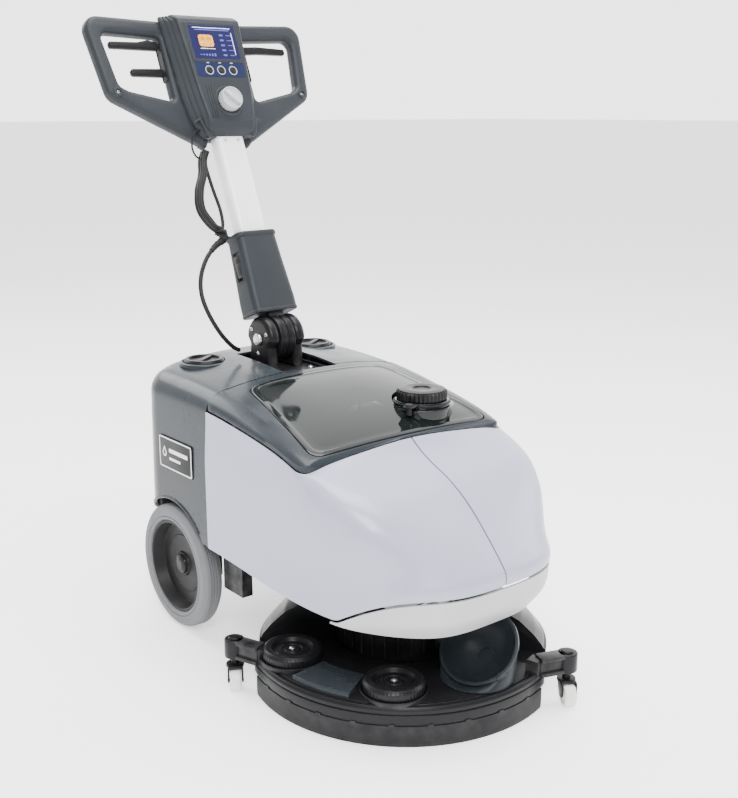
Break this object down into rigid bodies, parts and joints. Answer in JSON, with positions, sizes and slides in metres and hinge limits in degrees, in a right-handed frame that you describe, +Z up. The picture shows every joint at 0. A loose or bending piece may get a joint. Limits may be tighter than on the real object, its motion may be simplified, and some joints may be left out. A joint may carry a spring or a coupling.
{
  "type": "floor scrubber machine",
  "caption": "Compact walk-behind floor scrubber with turning brush deck, squeegee, tilting mast and looped handle.",
  "frame": {"origin": "middle of the footprint, on the floor", "axes": "+Z up, -Y towards the nose, -X towards the side that carries the label"},
  "size_m": [0.4571, 0.8043, 0.9508],
  "materials": {
    "housing_plastic": "satin moulded slate-grey plastic",
    "cowl_plastic": "satin pale blue-grey moulded plastic",
    "chin_plastic": "satin light-grey moulded plastic",
    "lid_plastic": "glossy smoked black plastic",
    "black_plastic": "fine-grained black plastic",
    "handle_plastic": "grained graphite plastic",
    "grey_plastic": "satin mid-grey plastic",
    "white_paint": "smooth white powder coat",
    "frame_paint": "black powder coat",
    "steel": "brushed zinc-plated steel",
    "tyre_rubber": "grey non-marking solid rubber",
    "black_rubber": "black rubber",
    "hub_plastic": "dark charcoal moulded plastic",
    "display_glass": "glossy display window",
    "duct_plastic": "satin dark slate plastic",
    "pad_fibre": "coarse nylon fibre pad",
    "caster_plastic": "milky translucent polyamide",
    "tank_plastic": "rotomoulded polyethylene"
  },
  "bodies": {
    "chassis": {"chassis_frame": "frame_paint", "rear_housing": "housing_plastic", "top_tray": "housing_plastic", "cowl_right": "cowl_plastic", "cowl_left": "cowl_plastic", "chin": "chin_plastic", "label_plate": "black_plastic", "axle": "steel", "mast_bracket": "black_plastic", "hinge_pin": "steel", "solution_tank": "tank_plastic", "recovery_tank": "tank_plastic", "battery_right": "black_plastic", "battery_left": "black_plastic", "charger": "steel", "suction_motor": "black_plastic", "deck_bearing": "steel"},
    "wheel_right": {"tyre_right": "tyre_rubber", "hub_right": "hub_plastic"},
    "wheel_left": {"tyre_left": "tyre_rubber", "hub_left": "hub_plastic"},
    "port_cap_right": {"port_cap_right": "black_plastic"},
    "port_cap_left": {"port_cap_left": "black_plastic"},
    "lid": {"lid": "lid_plastic", "fill_neck": "lid_plastic"},
    "fill_cap": {"fill_cap": "black_plastic"},
    "mast": {"knuckle": "black_plastic", "sleeve": "handle_plastic", "cable_lower": "black_rubber"},
    "height_latch": {"height_latch": "black_plastic"},
    "handle": {"mast_tube": "white_paint", "handle_front": "handle_plastic", "handle_back": "handle_plastic", "console_front": "handle_plastic", "console_back": "handle_plastic", "display_lens": "display_glass", "cable_upper": "black_rubber"},
    "speed_knob": {"speed_knob": "grey_plastic"},
    "button_right": {"button_right": "grey_plastic"},
    "button_middle": {"button_middle": "grey_plastic"},
    "button_left": {"button_left": "grey_plastic"},
    "lever_right": {"lever_right": "black_plastic"},
    "lever_left": {"lever_left": "black_plastic"},
    "tilt_lever": {"tilt_lever": "black_plastic"},
    "deck": {"deck_housing": "black_plastic", "squeegee_body": "black_plastic", "blade_front": "black_rubber", "blade_rear": "black_rubber", "suction_duct": "duct_plastic", "brush_motor": "frame_paint"},
    "squeegee_knob_middle": {"squeegee_knob_middle": "black_plastic"},
    "squeegee_knob_right": {"squeegee_knob_right": "black_plastic"},
    "caster_fork_right": {"caster_fork_right": "black_plastic"},
    "caster_fork_left": {"caster_fork_left": "black_plastic"},
    "caster_wheel_right": {"caster_wheel_right": "caster_plastic"},
    "caster_wheel_left": {"caster_wheel_left": "caster_plastic"},
    "brush": {"pad_driver": "black_plastic", "brush_pad": "pad_fibre"}
  },
  "joints": [
    {"name": "wheel_right_roll", "type": "hinge", "parent": "chassis", "child": "wheel_right", "pos_m": [-0.158, 0.1832, 0.1], "axis": [1, 0, 0], "continuous": true},
    {"name": "wheel_left_roll", "type": "hinge", "parent": "chassis", "child": "wheel_left", "pos_m": [0.194, 0.1832, 0.1], "axis": [1, 0, 0], "continuous": true},
    {"name": "mast_fold", "type": "hinge", "parent": "chassis", "child": "mast", "pos_m": [0.018, 0.1632, 0.45], "axis": [1, 0, 0], "range_deg": [-47, 103], "deforming": ["cable_lower"]},
    {"name": "port_cap_right_twist", "type": "hinge", "parent": "chassis", "child": "port_cap_right", "pos_m": [-0.088, 0.2112, 0.417], "axis": [0, 0, 1], "range_deg": [0, 90]},
    {"name": "port_cap_left_twist", "type": "hinge", "parent": "chassis", "child": "port_cap_left", "pos_m": [0.124, 0.2112, 0.417], "axis": [0, 0, 1], "range_deg": [0, 90]},
    {"name": "lid_hinge", "type": "hinge", "parent": "chassis", "child": "lid", "pos_m": [0.018, 0.0537, 0.424], "axis": [1, 0, 0], "range_deg": [-70, 0]},
    {"name": "fill_cap_twist", "type": "hinge", "parent": "lid", "child": "fill_cap", "pos_m": [0.097, -0.1008, 0.38], "axis": [0, 0, 1], "range_deg": [0, 90]},
    {"name": "height_latch_press", "type": "slide", "parent": "mast", "child": "height_latch", "axis": [1, 0, 0], "range_m": [0, 0.0015], "stiffness_N_per_m": 800},
    {"name": "handle_height", "type": "slide", "parent": "mast", "child": "handle", "axis": [0, 0.3955, 0.9184], "range_m": [0, 0.06], "deforming": ["cable_upper"]},
    {"name": "speed_knob_turn", "type": "hinge", "parent": "handle", "child": "speed_knob", "pos_m": [0.018, 0.28465, 0.81797], "axis": [0, -0.9184, 0.3955], "range_deg": [-135, 135]},
    {"name": "button_right_press", "type": "slide", "parent": "handle", "child": "button_right", "axis": [0, 0.9184, -0.3955], "range_m": [0, 0.0015], "stiffness_N_per_m": 500},
    {"name": "button_middle_press", "type": "slide", "parent": "handle", "child": "button_middle", "axis": [0, 0.9184, -0.3955], "range_m": [0, 0.0015], "stiffness_N_per_m": 500},
    {"name": "button_left_press", "type": "slide", "parent": "handle", "child": "button_left", "axis": [0, 0.9184, -0.3955], "range_m": [0, 0.0015], "stiffness_N_per_m": 500},
    {"name": "lever_right_squeeze", "type": "hinge", "parent": "handle", "child": "lever_right", "pos_m": [-0.062, 0.36818, 0.90068], "axis": [0, 0.9184, -0.3955], "range_deg": [0, 8], "stiffness_Nm_per_rad": 0.8},
    {"name": "lever_left_squeeze", "type": "hinge", "parent": "handle", "child": "lever_left", "pos_m": [0.098, 0.36739, 0.89884], "axis": [0, -0.9184, 0.3955], "range_deg": [0, 8], "stiffness_Nm_per_rad": 0.8},
    {"name": "tilt_lever_squeeze", "type": "hinge", "parent": "handle", "child": "tilt_lever", "pos_m": [-0.062, 0.35038, 0.85935], "axis": [0, 0.9184, -0.3955], "range_deg": [0, 8], "stiffness_Nm_per_rad": 0.8},
    {"name": "deck_turn", "type": "hinge", "parent": "chassis", "child": "deck", "pos_m": [0.018, -0.1528, 0.12], "axis": [0, 0, 1], "range_deg": [-134, 136]},
    {"name": "squeegee_knob_middle_twist", "type": "hinge", "parent": "deck", "child": "squeegee_knob_middle", "pos_m": [-0.10634, -0.28156, 0.066], "axis": [0, 0, 1], "range_deg": [0, 180]},
    {"name": "squeegee_knob_right_twist", "type": "hinge", "parent": "deck", "child": "squeegee_knob_right", "pos_m": [-0.15828, -0.12172, 0.066], "axis": [0, 0, 1], "range_deg": [0, 180]},
    {"name": "caster_right_swivel", "type": "hinge", "parent": "deck", "child": "caster_fork_right", "pos_m": [-0.20947, -0.05152, 0.05], "axis": [0, 0, 1], "continuous": true},
    {"name": "caster_right_roll", "type": "hinge", "parent": "caster_fork_right", "child": "caster_wheel_right", "pos_m": [-0.21447, -0.06018, 0.0165], "axis": [-0.866, 0.5, 0], "continuous": true},
    {"name": "caster_left_swivel", "type": "hinge", "parent": "deck", "child": "caster_fork_left", "pos_m": [0.12715, -0.3766, 0.05], "axis": [0, 0, 1], "continuous": true},
    {"name": "caster_left_roll", "type": "hinge", "parent": "caster_fork_left", "child": "caster_wheel_left", "pos_m": [0.12215, -0.38526, 0.0165], "axis": [-0.866, 0.5, 0], "continuous": true},
    {"name": "brush_spin", "type": "hinge", "parent": "deck", "child": "brush", "pos_m": [0.018, -0.1528, 0.03], "axis": [0, 0, 1], "continuous": true}
  ]
}
